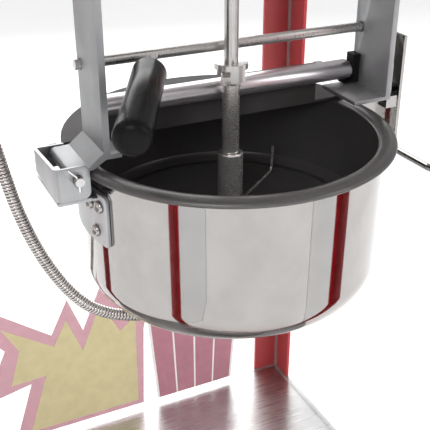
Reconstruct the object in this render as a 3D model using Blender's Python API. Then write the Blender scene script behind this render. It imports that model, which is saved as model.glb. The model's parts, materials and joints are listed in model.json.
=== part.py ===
"""Countertop popcorn machine with a tipping kettle, its cabinet doors standing open.

Lengths are in millimetres and become metres when a mesh is made. X is to the right and Y
away from the operator. The zero of this file is the centre of the kettle's rolled rim; the
"machine" empty carries everything from there to the origin under the machine.
"""

import math

import bmesh
import bpy
from mathutils import Matrix, Vector

MM = 0.001
GAP = 0.3  # between pieces that touch
SEGMENTS = 48
RIM_HEIGHT = 500.0  # rim above the table
RIM_X, RIM_Y = 75.0, 104.78  # kettle on the machine, whose origin is under the middle of its box

# Cabinet, measured from the kettle's centre
LEFT, RIGHT, FRONT, BACK = -315.0, 165.0, -180.0, 200.0
FEET, BASE, FLOOR, CEILING, TOP = -500.0, -485.0, -395.0, 190.0, 300.0
SHEET = 1.2
FLOOR_SHEET, CEILING_SHEET = 1.5, 2.0
POST, POST_SHEET = 30.0, 3.0
GLASS = 4.0
DOOR_OPEN = 107.5
DOOR_SETBACK = 9.0  # hinge axis in front of the posts
MIDDLE = (LEFT + RIGHT) / 2
FOOT_R, FOOT_INSET = 17.0, 30.0
DRAWER_LEFT, DRAWER_RIGHT, DRAWER_FOOT, DRAWER_TOP = -200.0, 50.0, -472.0, -412.0
DRAWER_LONG, DRAWER_SHEET = 230.0, 1.2
RUNNER = 3.0  # thickness of the two ribs that the drawer slides on
PULL_HALF, PULL_REACH, PULL_D = 45.0, 24.0, 7.0
INLET_X, INLET_Z = -230.0, -442.0
SIEVE_SLOTS, SLOT_WIDE = 12, 7.0
CANOPY_SIDE, CANOPY_FRONT, CANOPY_BACK = 6.0, 16.0, 4.0  # overhangs
SWITCH_X, SWITCH_Z = (72.0, 102.0, 132.0), 255.0
LAMP = (60.0, -110.0)
BULB = (
    (0, 130), (12, 132), (24, 139), (30, 150), (28, 161),
    (20, 172), (12, 181), (11.5, 184), (11.5, 215), (0, 215),
)  # radius and height

# Kettle
RIM_R, RIM_WIDE, RIM_TALL = 118.0, 13.4, 6.2
PAN_R, PAN_SHEET, PAN_FLOOR = 104.6, 1.5, -64.0
SHELL_R, SHELL_SHEET, SHELL_BOTTOM, SHELL_FILLET = 109.3, 1.2, -114.0, 26.0
HEATER_R, HEATER_D = 72.0, 9.0

# Agitator and its drive
SHAFT_R, SHAFT_TOP = 6.2, 38.0
SLEEVE_R, SLEEVE_TOP, SLEEVE_FOOT = 9.3, -14.0, -62.0
WIRE_D, WIRE_ANGLE, WIRE_REACH = 2.4, 38.3, 80.7
FORK_Z, FORK_R, FORK_INNER = 41.0, 12.0, 5.5
BLADE_REACH, BLADE = 7.2, 2.4  # engages the dogs and turns clear of the cross bar

# Hanger frame
PIN = Vector((-123.2, 0.0, 1.0))  # axis the kettle tips about, along Y
HANGER_FRONT, HANGER_BACK = -27.0, 17.0
WEB_LEFT, WEB_RIGHT, WEB = -99.3, 113.5, 4.5
BAR_Y, BAR_Z, BAR_DEEP, BAR_TALL = 14.0, 29.0, 12.0, 13.6
LID_HINGE = Vector((0.0, 26.0, 30.0))
LID_R, LID_EDGE = 120.0, 22.0
LEVER = Vector((0.0, 11.0, 62.0))  # axis of the lever's cross shaft, along X
LEVER_X = -52.0
GRIP_END, GRIP_NECK = Vector((-104.4, -81.0, 40.9)), Vector((-62.4, -5.5, 55.2))

# Conduit, from the kettle's underside to the ceiling
GLAND = Vector((-10.0, 45.0, -116.0))
CEILING_GLAND = Vector((-190.0, 62.0, 180.0))
CONDUIT_D = 10.0
CONDUIT_ROUTE = (
    (-10, 45, -127), (-10.6, 45.3, -141), (-15.6, 46.4, -154.4), (-25.2, 48, -165),
    (-38, 50, -171), (-52, 52, -172.6), (-66, 54, -170.3), (-82, 56.3, -165),
    (-99, 58.2, -153.5), (-114.5, 59.4, -134), (-128, 60, -108.5), (-138.3, 60, -82),
    (-146, 60, -55.5), (-151.8, 60, -28), (-157, 60, 0), (-163, 60, 30), (-171, 61, 60),
    (-180, 61.5, 90), (-187, 62, 119), (-190, 62, 142), (-190, 62, 164),
)


def clear_scene():
    for obj in list(bpy.data.objects):
        bpy.data.objects.remove(obj)


def finish(name, colour, roughness, metallic=0.0, alpha=1.0):
    """One Principled material, made once."""
    found = bpy.data.materials.get(name)
    if found:
        return found
    made = bpy.data.materials.new(name)
    made.use_nodes = True
    shader = made.node_tree.nodes["Principled BSDF"]
    shader.inputs["Base Color"].default_value = (*colour, 1.0)
    shader.inputs["Roughness"].default_value = roughness
    shader.inputs["Metallic"].default_value = metallic
    shader.inputs["Alpha"].default_value = alpha
    made.diffuse_color = (*colour, alpha)
    return made


MIRROR_STEEL = ("mirror_steel", (0.80, 0.79, 0.77), 0.08, 1.0)
BRUSHED_STEEL = ("brushed_steel", (0.62, 0.61, 0.60), 0.35, 1.0)
CHROME = ("chrome", (0.85, 0.85, 0.86), 0.06, 1.0)
ALUMINIUM = ("aluminium", (0.72, 0.73, 0.74), 0.38, 0.9)
NON_STICK = ("non_stick", (0.035, 0.033, 0.033), 0.42, 0.1)
RED_PAINT = ("red_paint", (0.55, 0.012, 0.02), 0.28)
BLACK_PLASTIC = ("black_plastic", (0.015, 0.015, 0.016), 0.30)
BLACK_RUBBER = ("black_rubber", (0.02, 0.02, 0.02), 0.7)
CLEAR_GLASS = ("clear_glass", (0.90, 0.94, 0.94), 0.03, 0.0, 0.25)
WHITE_PANEL = ("white_panel", (0.88, 0.85, 0.76), 0.35)
LAMP_GLASS = ("lamp_glass", (0.95, 0.93, 0.86), 0.15)
DARK_STEEL = ("dark_steel", (0.20, 0.20, 0.21), 0.45, 0.8)


def empty(name, place, parent=None, turn=(0.0, 0.0, 0.0)):
    """A group's axis: its pieces are made about it."""
    made = bpy.data.objects.new(name, None)
    bpy.context.scene.collection.objects.link(made)
    made.empty_display_size = 0.02
    made.parent = parent
    origin = Vector(parent["axis"]) if parent and "axis" in parent else Vector()
    made.location = (Vector(place) - origin) * MM
    made.rotation_euler = [math.radians(angle) for angle in turn]
    made["axis"] = list(place)
    return made


def add(name, shape, look, group, bevel=0.0):
    """A bmesh in the kettle's frame becomes an object about its group's axis."""
    bmesh.ops.recalc_face_normals(shape, faces=shape.faces)
    axis = Vector(group["axis"])
    bmesh.ops.translate(shape, vec=-axis, verts=shape.verts)
    bmesh.ops.scale(shape, vec=(MM, MM, MM), verts=shape.verts)
    mesh = bpy.data.meshes.new(name)
    shape.to_mesh(mesh)
    shape.free()
    mesh.shade_smooth()
    mesh.set_sharp_from_angle(angle=math.radians(35))
    made = bpy.data.objects.new(name, mesh)
    bpy.context.scene.collection.objects.link(made)
    made.parent = group
    made.data.materials.append(finish(*look))
    if bevel:
        edge = made.modifiers.new("edge", "BEVEL")
        edge.width = bevel * MM
        edge.segments = 1
        edge.limit_method = "ANGLE"
    return made


def boolean(obj, operation, shapes):
    """Unions or cuts each shape, kept as a hidden helper beside the object."""
    for number, shape in enumerate(shapes):
        helper = add(f"{obj.name}_{operation.lower()}_{number}", shape, DARK_STEEL, obj.parent)
        helper.hide_render = True
        helper.hide_set(True)
        helper.display_type = "WIRE"
        modifier = obj.modifiers.new(helper.name, "BOOLEAN")
        modifier.operation = operation
        modifier.solver = "EXACT"
        modifier.object = helper
    return obj


def box(x0, x1, y0, y1, z0, z1):
    shape = bmesh.new()
    bmesh.ops.create_cube(shape, size=1.0)
    bmesh.ops.scale(shape, vec=(x1 - x0, y1 - y0, z1 - z0), verts=shape.verts)
    centre = ((x0 + x1) / 2, (y0 + y1) / 2, (z0 + z1) / 2)
    bmesh.ops.translate(shape, vec=centre, verts=shape.verts)
    return shape


def prism(outline, along, start, end):
    """A flat outline pushed along an axis; it is given in the other two axes, in order."""
    put = {
        "X": lambda u, v, w: (w, u, v),
        "Y": lambda u, v, w: (u, w, v),
        "Z": lambda u, v, w: (u, v, w),
    }[along]
    shape = bmesh.new()
    ends = [[shape.verts.new(put(u, v, w)) for u, v in outline] for w in (start, end)]
    for ring in ends:
        shape.faces.new(ring)
    count = len(outline)
    for i in range(count):
        j = (i + 1) % count
        shape.faces.new((ends[0][i], ends[0][j], ends[1][j], ends[1][i]))
    return shape


def lathe(profile, centre=(0, 0, 0), segments=SEGMENTS, towards=(0, 0, 1)):
    """A closed outline of (radius, height) turned round an axis."""
    shape = bmesh.new()
    rings = []
    for radius, height in profile:
        if radius < 1e-6:
            rings.append([shape.verts.new((0, 0, height))] * segments)
            continue
        angles = [math.tau * i / segments for i in range(segments)]
        round_it = [(radius * math.cos(a), radius * math.sin(a), height) for a in angles]
        rings.append([shape.verts.new(point) for point in round_it])
    for ring, following in zip(rings, rings[1:] + rings[:1]):
        for i in range(segments):
            j = (i + 1) % segments
            corners = [ring[i], ring[j], following[j], following[i]]
            corners = [c for n, c in enumerate(corners) if c not in corners[:n]]
            if len(corners) > 2:
                shape.faces.new(corners)
    turn = Vector((0, 0, 1)).rotation_difference(Vector(towards)).to_matrix().to_4x4()
    bmesh.ops.transform(shape, matrix=Matrix.Translation(Vector(centre)) @ turn, verts=shape.verts)
    return shape


def cylinder(centre, radius, start, end, towards=(0, 0, 1), segments=24):
    """A plain round bar between two heights along its axis."""
    return lathe([(0, start), (radius, start), (radius, end), (0, end)], centre, segments, towards)


def tube(centre, outer, inner, start, end, towards=(0, 0, 1), segments=24):
    profile = [(inner, start), (outer, start), (outer, end), (inner, end)]
    return lathe(profile, centre, segments, towards)


def arc(centre, radius, start, end, steps):
    """Points round an arc, angles in degrees."""
    angles = [math.radians(start + (end - start) * i / steps) for i in range(steps + 1)]
    return [(centre[0] + radius * math.cos(a), centre[1] + radius * math.sin(a)) for a in angles]


def rounded(points, radius, steps=4):
    """A path of straight runs with its corners turned at a radius."""
    points = [Vector(p) for p in points]
    path = [points[0]]
    for before, corner, after in zip(points, points[1:], points[2:]):
        back, ahead = (before - corner).normalized(), (after - corner).normalized()
        reach = radius / math.tan(back.angle(ahead) / 2)
        first, last = corner + back * reach, corner + ahead * reach
        for i in range(steps + 1):
            t = i / steps
            path.append(first * (1 - t) ** 2 + corner * 2 * t * (1 - t) + last * t**2)
    return path + [points[-1]]


def smooth(points, steps=3):
    """A smooth curve through hand-placed points (Catmull-Rom)."""
    points = [Vector(p) for p in points]
    points = [2 * points[0] - points[1], *points, 2 * points[-1] - points[-2]]
    path = []
    for a, b, c, d in zip(points, points[1:], points[2:], points[3:]):
        for i in range(steps):
            t = i / steps
            square = (2 * a - 5 * b + 4 * c - d) * t**2
            cube = (3 * b - a - 3 * c + d) * t**3
            path.append(0.5 * (2 * b + (c - a) * t + square + cube))
    return path + [points[-2]]


def wire(path, diameter, sides=8):
    """A round rod along a path, with flat ends."""
    shape = bmesh.new()
    rings = []
    across = (path[1] - path[0]).orthogonal().normalized()
    for i, point in enumerate(path):
        ahead = (path[min(i + 1, len(path) - 1)] - path[max(i - 1, 0)]).normalized()
        across = (across - ahead * across.dot(ahead)).normalized()
        other = ahead.cross(across)
        ring = []
        for k in range(sides):
            a = math.tau * k / sides
            out = across * math.cos(a) + other * math.sin(a)
            ring.append(shape.verts.new(point + out * diameter / 2))
        rings.append(ring)
    for ring, following in zip(rings, rings[1:]):
        for k in range(sides):
            n = (k + 1) % sides
            shape.faces.new((ring[k], ring[n], following[n], following[k]))
    shape.faces.new(rings[0])
    shape.faces.new(rings[-1])
    return shape


def base(machine):
    """Red base box with the drawer's runners and opening, and the sieve floor over it."""
    top = FLOOR - FLOOR_SHEET - 2 * GAP
    body = add("base_body", box(LEFT, RIGHT, FRONT, BACK, BASE, top), RED_PAINT, machine)
    inside = box(LEFT + SHEET, RIGHT - SHEET, FRONT + SHEET, BACK - SHEET, BASE + SHEET, FLOOR)
    mouth = box(
        DRAWER_LEFT - 2, DRAWER_RIGHT + 2, FRONT - 5, FRONT + 5, DRAWER_FOOT - 2, DRAWER_TOP + 2
    )
    socket = box(INLET_X - 24, INLET_X + 24, BACK - 5, BACK + 5, INLET_Z - 14, INLET_Z + 14)
    boolean(body, "DIFFERENCE", [inside, mouth, socket])
    ribs = []
    for x in (DRAWER_LEFT + 12, DRAWER_RIGHT - 12 - RUNNER):
        front, back = FRONT + SHEET / 2, BACK - SHEET / 2
        ribs.append(box(x, x + RUNNER, front, back, BASE + SHEET / 2, DRAWER_FOOT - GAP))
    boolean(body, "UNION", ribs)
    floor = box(LEFT, RIGHT, FRONT, BACK, FLOOR - GAP - FLOOR_SHEET, FLOOR - GAP)
    boolean(add("floor_plate", floor, BRUSHED_STEEL, machine), "DIFFERENCE", [sieve()])
    feet(machine)
    power_inlet(machine)


def sieve():
    """The floor's slots, as one shape to cut with."""
    slots = bmesh.new()
    first, last = DRAWER_LEFT + 17, DRAWER_RIGHT - 17
    for i in range(SIEVE_SLOTS):
        x = first + i * (last - first) / (SIEVE_SLOTS - 1)
        half = SLOT_WIDE / 2
        cut = box(x - half, x + half, FRONT + 40, FRONT + 130, FLOOR - 5, FLOOR + 5)
        mesh = bpy.data.meshes.new("slot")
        cut.to_mesh(mesh)
        cut.free()
        slots.from_mesh(mesh)
    return slots


def feet(machine):
    """Four rubber feet."""
    top = BASE - GAP
    profile = [(0, FEET), (FOOT_R - 2, FEET), (FOOT_R, FEET + 3), (FOOT_R, top), (0, top)]
    for side, y in (("front", FRONT + FOOT_INSET), ("rear", BACK - FOOT_INSET)):
        for name, x in (("left", LEFT + FOOT_INSET), ("right", RIGHT - FOOT_INSET)):
            foot = lathe(profile, (x, y, 0), 20)
            add(f"foot_{side}_{name}", foot, BLACK_RUBBER, machine)


def power_inlet(machine):
    """Appliance inlet, its socket open at the back."""
    x, z = INLET_X, INLET_Z
    body = box(x - 23.5, x + 23.5, BACK - 22, BACK - GAP, z - 13.5, z + 13.5)
    inlet = add("power_inlet", body, BLACK_PLASTIC, machine)
    boolean(inlet, "DIFFERENCE", [box(x - 12, x + 12, BACK - 17, BACK + 4, z - 8, z + 8)])


def drawer(machine):
    """Crumb drawer that pulls out towards the operator."""
    group = empty("drawer_axis", (MIDDLE, FRONT, DRAWER_FOOT), machine)
    tray = box(DRAWER_LEFT, DRAWER_RIGHT, FRONT - 0.5, FRONT + DRAWER_LONG, DRAWER_FOOT, DRAWER_TOP)
    tray = add("crumb_drawer", tray, BRUSHED_STEEL, group)
    wall = DRAWER_SHEET
    well = box(
        DRAWER_LEFT + wall, DRAWER_RIGHT - wall, FRONT + wall, FRONT + DRAWER_LONG - wall,
        DRAWER_FOOT + wall, DRAWER_TOP + 5,
    )
    boolean(tray, "DIFFERENCE", [well])
    face = box(
        DRAWER_LEFT - 8, DRAWER_RIGHT + 8, FRONT - 3, FRONT - 0.8, DRAWER_FOOT - 6, DRAWER_TOP + 6
    )
    face = add("drawer_front", face, RED_PAINT, group)
    z = (DRAWER_FOOT + DRAWER_TOP) / 2
    near, far = FRONT - 2, FRONT - PULL_REACH
    bow = [(-PULL_HALF, near), (-PULL_HALF, far), (PULL_HALF, far), (PULL_HALF, near)]
    bow = [(MIDDLE + x, y, z) for x, y in bow]
    boolean(face, "UNION", [wire(rounded(bow, 8), PULL_D)])


def posts(machine):
    """Four red corner angles, open towards the glass."""
    for name, x, inward in (("left", LEFT, 1), ("right", RIGHT, -1)):
        for side, y, back in (("front", FRONT, 1), ("rear", BACK, -1)):
            a, t = POST, POST_SHEET
            outline = [(0, 0), (a, 0), (a, t), (t, t), (t, a), (0, a)]
            outline = [(x + u * inward, y + v * back) for u, v in outline]
            add(f"post_{side}_{name}", prism(outline, "Z", FLOOR, CEILING), RED_PAINT, machine)


def panes(machine):
    """Fixed glass at the back and the two sides, inside the corner angles."""
    edge = POST_SHEET + GAP
    low, high = FLOOR + GAP, CEILING - GAP
    back = BACK - edge
    add("rear_glass", box(LEFT + edge, RIGHT - edge, back - GLASS, back, low, high), CLEAR_GLASS, machine)
    for name, x in (("left_glass", LEFT + edge), ("right_glass", RIGHT - edge - GLASS)):
        pane = box(x, x + GLASS, FRONT + edge, back - GLASS - GAP, low, high)
        add(name, pane, CLEAR_GLASS, machine)


def doors(machine):
    """Two acrylic doors on hinge rods, standing open."""
    for name, x, inward in (("left", LEFT + 6, 1), ("right", RIGHT - 6, -1)):
        axis = Vector((x, FRONT - DOOR_SETBACK, 0))
        rod = cylinder(axis, 2.0, FLOOR + 1, CEILING - 2, segments=12)
        rod = add(f"door_{name}_hinge_rod", rod, CHROME, machine)
        ends = [box(x - 5, x + 5, FRONT - 14, FRONT - GAP, z, z + 3) for z in (FLOOR, CEILING - 3)]
        boolean(rod, "UNION", ends)
        group = empty(f"door_{name}_axis", axis, machine, (0, 0, -DOOR_OPEN * inward))
        edges = sorted((x - 3 * inward, MIDDLE - 0.75 * inward))
        low, high = FLOOR + 4, CEILING - 4
        pane = box(*edges, FRONT - 6, FRONT - 2, low, high)
        pane = add(f"door_{name}", pane, CLEAR_GLASS, group)
        knuckles = [cylinder(axis, 4.6, z, z + 26, segments=16) for z in (low + 30, -85, high - 56)]
        bore = cylinder(axis, 2.5, low - 5, high + 5, segments=12)
        boolean(pane, "UNION", knuckles)
        boolean(pane, "DIFFERENCE", [bore])
        knob = [(0, 0), (7, 0), (5, 6), (9, 12), (9, 17), (0, 18)]
        grip = (MIDDLE - 22 * inward, FRONT - 6 - GAP, -70)
        add(f"door_{name}_knob", lathe(knob, grip, 20, (0, -1, 0)), BLACK_PLASTIC, group)


def canopy(machine):
    """Red hood over the ceiling, with its front panel, switches, lamp and gear motor."""
    x0, x1 = LEFT - CANOPY_SIDE, RIGHT + CANOPY_SIDE
    y0, y1 = FRONT - CANOPY_FRONT, BACK + CANOPY_BACK
    hood = add("canopy", box(x0, x1, y0, y1, CEILING + GAP, TOP), RED_PAINT, machine)
    inside = box(x0 + SHEET, x1 - SHEET, y0 + SHEET, y1 - SHEET, CEILING - 5, TOP - SHEET)
    holes = [box(x - 11, x + 11, y0 - 5, y0 + 5, SWITCH_Z - 16, SWITCH_Z + 16) for x in SWITCH_X]
    boolean(hood, "DIFFERENCE", [inside, *holes])
    panel = box(x0 + 16, SWITCH_X[0] - 24, y0 - GAP - 3, y0 - GAP, CEILING + 16, TOP - 14)
    add("front_panel", panel, WHITE_PANEL, machine, bevel=0.8)
    switches(machine, y0)
    edge = POST_SHEET + 2 * GAP + GLASS
    low, front = CEILING - CEILING_SHEET, FRONT + POST_SHEET + 1
    top = box(LEFT + edge, RIGHT - edge, front, BACK - edge, low, CEILING)
    ceiling = add("ceiling_plate", top, BRUSHED_STEEL, machine)
    openings = [
        cylinder((0, 0, 0), 9, CEILING - 9, CEILING + 9),
        cylinder((*LAMP, 0), 13, CEILING - 9, CEILING + 26),
        cylinder((CEILING_GLAND.x, CEILING_GLAND.y, 0), 7, CEILING - 9, CEILING + 9),
    ]
    boolean(ceiling, "UNION", [cylinder((*LAMP, 0), 20, CEILING - 6, CEILING + 30)])
    boolean(ceiling, "DIFFERENCE", openings)
    add("heat_lamp", lathe(list(BULB), (*LAMP, 0), 24), LAMP_GLASS, machine)
    gear_motor(machine)


def switches(machine, front):
    """Three rockers, the lower half of each standing out."""
    z = SWITCH_Z
    face = [(3, -12), (-6.5, -14), (-1.5, 0), (-1, 14), (3, 12)]
    for number, x in enumerate(SWITCH_X, 1):
        group = empty(f"switch_{number}_axis", (x, front + 1, z), machine)
        outline = [(front + v, z + w) for v, w in face]
        add(f"rocker_{number}", prism(outline, "X", x - 9.5, x + 9.5), BLACK_PLASTIC, group)


def gear_motor(machine):
    """Gearbox over the kettle with the motor's can on top and a bore for the drive shaft."""
    gearbox = box(-32, 32, -26, 44, CEILING + GAP, CEILING + 44)
    motor = add("gear_motor", gearbox, DARK_STEEL, machine)
    boolean(motor, "UNION", [cylinder((8, 20, 0), 28, CEILING + 40, CEILING + 104)])
    bore = cylinder((0, 0, 0), 5.6, CEILING - 5, CEILING + 36, segments=16)
    boolean(motor, "DIFFERENCE", [bore])


def kettle(group):
    """Non-stick pan with a rolled rim inside a polished shell, heated from below."""
    a, b = RIM_WIDE / 2, RIM_TALL / 2
    middle = RIM_R - a
    roll = [(middle + a * math.cos(t), b * math.sin(t)) for t in [math.tau * i / 14 for i in range(14)]]
    inner = PAN_R
    turn = arc((inner - 12, PAN_FLOOR + 12), 12, 0, -90, 4)
    under = arc((inner - 12, PAN_FLOOR + 12), 12 + PAN_SHEET, -90, 0, 4)
    profile = [(inner + 0.1, 0.5), *turn, (0, PAN_FLOOR)]
    profile += [(0, PAN_FLOOR - PAN_SHEET), *under, (inner + PAN_SHEET, 0.5)]
    pan = add("kettle_pan", lathe(profile), NON_STICK, group)
    boolean(pan, "UNION", [lathe(roll)])
    out, t = SHELL_R, SHELL_SHEET
    low = SHELL_BOTTOM
    fillet = SHELL_FILLET
    outside = arc((out - fillet, low + fillet), fillet, 0, -90, 5)
    inside = arc((out - fillet, low + fillet), fillet - t, -90, 0, 5)
    wall = [(out, -b - GAP), *outside, (60, low), (60, low + t), *inside, (out - t, -b - GAP)]
    add("kettle_shell", lathe(wall), MIRROR_STEEL, group)
    disc = lathe([(0, low - 1.8), (74, low - 1.8), (75, low - GAP), (0, low - GAP)])
    cover = add("kettle_base_cover", disc, BRUSHED_STEEL, group)
    boolean(cover, "DIFFERENCE", [cylinder((GLAND.x, GLAND.y, 0), 5.5, low - 6, low + 6, segments=16)])
    heater = arc((0, 0), HEATER_R, 15, 345, 30)
    heater = [Vector((x, y, PAN_FLOOR - PAN_SHEET - GAP - HEATER_D / 2)) for x, y in heater]
    add("heating_element", wire(heater, HEATER_D), DARK_STEEL, group)
    top = PAN_FLOOR - PAN_SHEET - GAP
    add("thermostat", cylinder((30, 10, 0), 9, top - 16, top), BLACK_PLASTIC, group)
    gland = [(5, low + 4), (5, low - 2.1), (10, low - 2.1), (10, low - 8), (8, low - 9), (8, low - 18)]
    gland = [*gland, (5.8, low - 18), (5.8, low - 12), (3.6, low - 12), (3.6, low + 4)]
    add("kettle_gland", lathe(gland, (GLAND.x, GLAND.y, 0), 16), BRUSHED_STEEL, group)


def agitator(group):
    """Shaft in a sleeve, with two wires that sweep the pan."""
    blade = box(-BLADE_REACH, BLADE_REACH, -BLADE / 2, BLADE / 2, SHAFT_TOP - 6, SHAFT_TOP + 8)
    shaft = cylinder((0, 0, 0), SHAFT_R, SLEEVE_FOOT + 1, SHAFT_TOP)
    shaft = add("agitator_shaft", shaft, BRUSHED_STEEL, group)
    boolean(shaft, "UNION", [blade])
    add("agitator_sleeve", tube((0, 0, 0), SLEEVE_R, 7.3, SLEEVE_FOOT, SLEEVE_TOP), BRUSHED_STEEL, group)
    low = PAN_FLOOR + GAP + WIRE_D / 2 + 0.6
    wires = (("long", WIRE_ANGLE, WIRE_REACH, 21.5), ("short", WIRE_ANGLE + 180, 58, 14))
    for name, angle, reach, tall in wires:
        ahead = Vector((math.cos(math.radians(angle)), math.sin(math.radians(angle)), 0))
        bends = [ahead * (SLEEVE_R + GAP), ahead * reach, ahead * (reach + 1.5) + Vector((0, 0, tall))]
        path = rounded([p + Vector((0, 0, low)) for p in bends], 6)
        add(f"stir_wire_{name}", wire(path, WIRE_D, 6), BRUSHED_STEEL, group)


def drive(group):
    """Drive shaft from the gear motor, ending in two dogs that turn the agitator's blade."""
    shaft = cylinder((0, 0, 0), 5, FORK_Z + 9, CEILING + 34, segments=16)
    shaft = add("drive_shaft", shaft, BRUSHED_STEEL, group)
    disc = cylinder((0, 0, 0), FORK_R, FORK_Z + 8, FORK_Z + 12)
    dogs = []
    for side in (90, 270):
        sector = arc((0, 0), FORK_R, side - 28, side + 28, 4)
        sector += arc((0, 0), FORK_INNER, side + 28, side - 28, 3)
        dogs.append(prism(sector, "Z", FORK_Z, FORK_Z + 9))
    boolean(shaft, "UNION", [disc, *dogs])


def hanger(machine):
    """Aluminium hanger: two webs, chrome cross bar, and the hinge tongue on the left."""
    top = CEILING - 2.3
    outer = WEB_LEFT - WEB
    y_front, y_back = HANGER_FRONT, HANGER_BACK
    left = [
        (outer, top), (outer, 14.0), (-114.2, 5.8), (-122.5, 5.4), (-122.5, 3.7), (-111.2, 3.7),
        (-102.4, 9.2), (-91.5, 9.2), (-91.5, 12.3), (WEB_LEFT, 12.3), (WEB_LEFT, top),
    ]
    frame = add("hanger_left", prism(left, "Y", y_front, y_back), ALUMINIUM, machine)
    knuckle = cylinder(PIN, 4.6, y_front, y_back, (0, 1, 0), 20)
    bore = cylinder(PIN, 3.3, y_front - 5, y_back + 5, (0, 1, 0), 16)
    shaft = cylinder((0, LEVER.y, LEVER.z), 3.9, -130, -80, (1, 0, 0), 16)
    boolean(frame, "UNION", [knuckle])
    boolean(frame, "DIFFERENCE", [bore, shaft])
    x, t = WEB_RIGHT, WEB
    right = [(x, top), (x, 19), (86.5, 19), (86.5, 16), (x + t, 16), (x + t, top)]
    frame = add("hanger_right", prism(right, "Y", y_front, y_back), ALUMINIUM, machine)
    shaft = cylinder((0, LEVER.y, LEVER.z), 3.9, 100, 130, (1, 0, 0), 16)
    boolean(frame, "DIFFERENCE", [shaft])
    y, z, h = BAR_Y, BAR_Z, BAR_TALL / 2
    deep = BAR_DEEP / 2
    outline = [
        *arc((y - deep + 4, z - h + 4), 4, 270, 180, 3), *arc((y - deep + 4, z + h - 4), 4, 180, 90, 3),
        (y + deep, z + h), (y + deep, z - h),
    ]
    add("cross_bar", prism(outline, "X", WEB_LEFT + GAP, 107.0), CHROME, machine)
    near = WEB_RIGHT - GAP
    foot = [(107.3, 42), (near, 42), (near, 20), (100.5, 20), (100.5, 21.8), (107.3, 21.8)]
    add("bar_bracket", prism(foot, "Y", y - deep, y + 3), BLACK_PLASTIC, machine)
    rod = cylinder(LID_HINGE, 2.2, -92, 92, (1, 0, 0), 12)
    rod = add("lid_hinge_rod", rod, CHROME, machine)
    lugs = [box(x - 3, x + 3, y + deep + GAP, LID_HINGE.y + 4, 26.5, 33.5) for x in (-89, 89)]
    boolean(rod, "UNION", lugs)


def rear_lid(group):
    """Half lid over the back of the kettle, hung on the rod behind the bar."""
    low, thick = RIM_TALL / 2 + GAP, 2.0
    start = math.degrees(math.asin(LID_EDGE / LID_R))
    outline = arc((0, 0), LID_R, start, 180 - start, 28)
    lid = add("rear_lid", prism(outline, "Z", low, low + thick), NON_STICK, group)
    flange = box(-84, 84, LID_EDGE, LID_EDGE + 1.6, low + 0.5, LID_HINGE.z)
    curl = cylinder(LID_HINGE, 4.0, -84, 84, (1, 0, 0), 16)
    boolean(lid, "UNION", [flange, curl])
    boolean(lid, "DIFFERENCE", [cylinder(LID_HINGE, 2.6, -90, 90, (1, 0, 0), 12)])


def kettle_hinge(group, machine):
    """Clevis and strap riveted to the kettle, on a pin through the hanger's knuckle."""
    front, back = HANGER_FRONT - 4.5, HANGER_BACK + 4.5
    left, low, high, t = -138.0, -13.2, 10.0, 2.3
    near, far = -115.0, -117.0  # ends of the front and back arms, clear of the rim
    plan = [(left, front), (near, front), (near, front + t), (left + t, front + t)]
    plan += [(left + t, back - t), (far, back - t), (far, back), (left, back)]
    clevis = add("hinge_clevis", prism(plan, "Z", low, high), ALUMINIUM, group)
    corner = 5.0
    side = [(left - 5, low), *arc((near - corner, low + corner), corner, -90, 0, 3)]
    side += [*arc((near - corner, high - corner), corner, 0, 90, 3), (left - 5, high)]
    boolean(clevis, "INTERSECT", [prism(side, "Y", front - 5, back + 5)])
    boolean(clevis, "DIFFERENCE", [cylinder(PIN, 3.3, front - 5, back + 5, (0, 1, 0), 16)])
    wall, half = SHELL_R + GAP, 17.5
    outside = arc((0, 0), wall + 2.4, 180 - half, 180 + half, 6)
    outside += arc((0, 0), wall, 180 + half, 180 - half, 6)
    strap = add("hinge_strap", prism(outside, "Z", -52, low - GAP), ALUMINIUM, group)
    flange = box(left + 1, -wall - 1, front + 1, back - 1, low - GAP - 2.4, low - GAP)
    boolean(strap, "UNION", [flange])
    for number, (angle, z) in enumerate(((-13.4, -23.5), (-6.9, -25), (-10.5, -43)), 1):
        out = Vector((-math.cos(math.radians(angle)), math.sin(math.radians(angle)), 0))
        head = [(0, 0), (4.4, 0), (4.4, 0.6), (3.2, 1.7), (0, 2.1)]
        place = out * (wall + 2.4 + GAP) + Vector((0, 0, z))
        add(f"hinge_rivet_{number}", lathe(head, place, 12, out), CHROME, group)
    pin = cylinder(PIN, 3.0, front - 5, back + 4, (0, 1, 0), 16)
    pin = add("hinge_pin", pin, BRUSHED_STEEL, machine)
    boolean(pin, "UNION", [cylinder(PIN, 4.6, back + 2, back + 4, (0, 1, 0), 16)])
    cross = cylinder((PIN.x, front - 2.9, PIN.z), 1.1, -9, 9, (0, 0, 1), 10)
    boolean(pin, "DIFFERENCE", [cross])
    eye = PIN + Vector((0, front - 2.9, 0))
    legs = [(eye + Vector(v)) for v in ((-6, -1.2, 10), (0, 0, 4.2), (0, 0, -7))]
    add("split_pin", wire(rounded(legs, 2, 2), 1.5, 6), CHROME, machine)


def latch_side(group):
    """Strap, catch and bent rod handle on the kettle's right."""
    plate = prism([(-20, -38), (28, -38), (28, 60), (-20, 60)], "X", 131, 133.4)
    plate = add("latch_strap", plate, MIRROR_STEEL, group)
    foot = box(SHELL_R - 1.5, 132, -9, 9, -37, -25)
    catch = box(121, 132, -19, -9, 6, 15)
    z = -33.5
    route = [(132, 8, z), (139.5, 8, z), (141, -50, z), (145.5, -68, z), (145.5, -100, z)]
    boolean(plate, "UNION", [foot, catch, wire(rounded(route, 4, 3), 5.6, 10)])
    boolean(plate, "DIFFERENCE", [cylinder((0, 0, 0), SHELL_R + GAP, -80, -10, segments=SEGMENTS)])
    bore = 3.1
    grip = [(bore, 0), (8, 0), (10, 3), (9.2, 30), (10, 62), (8, 70), (0, 71), (0, 8), (bore, 8)]
    add("tip_handle_grip", lathe(grip, (145.5, -94, z), 20, (0, -1, 0)), BLACK_PLASTIC, group)


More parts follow.
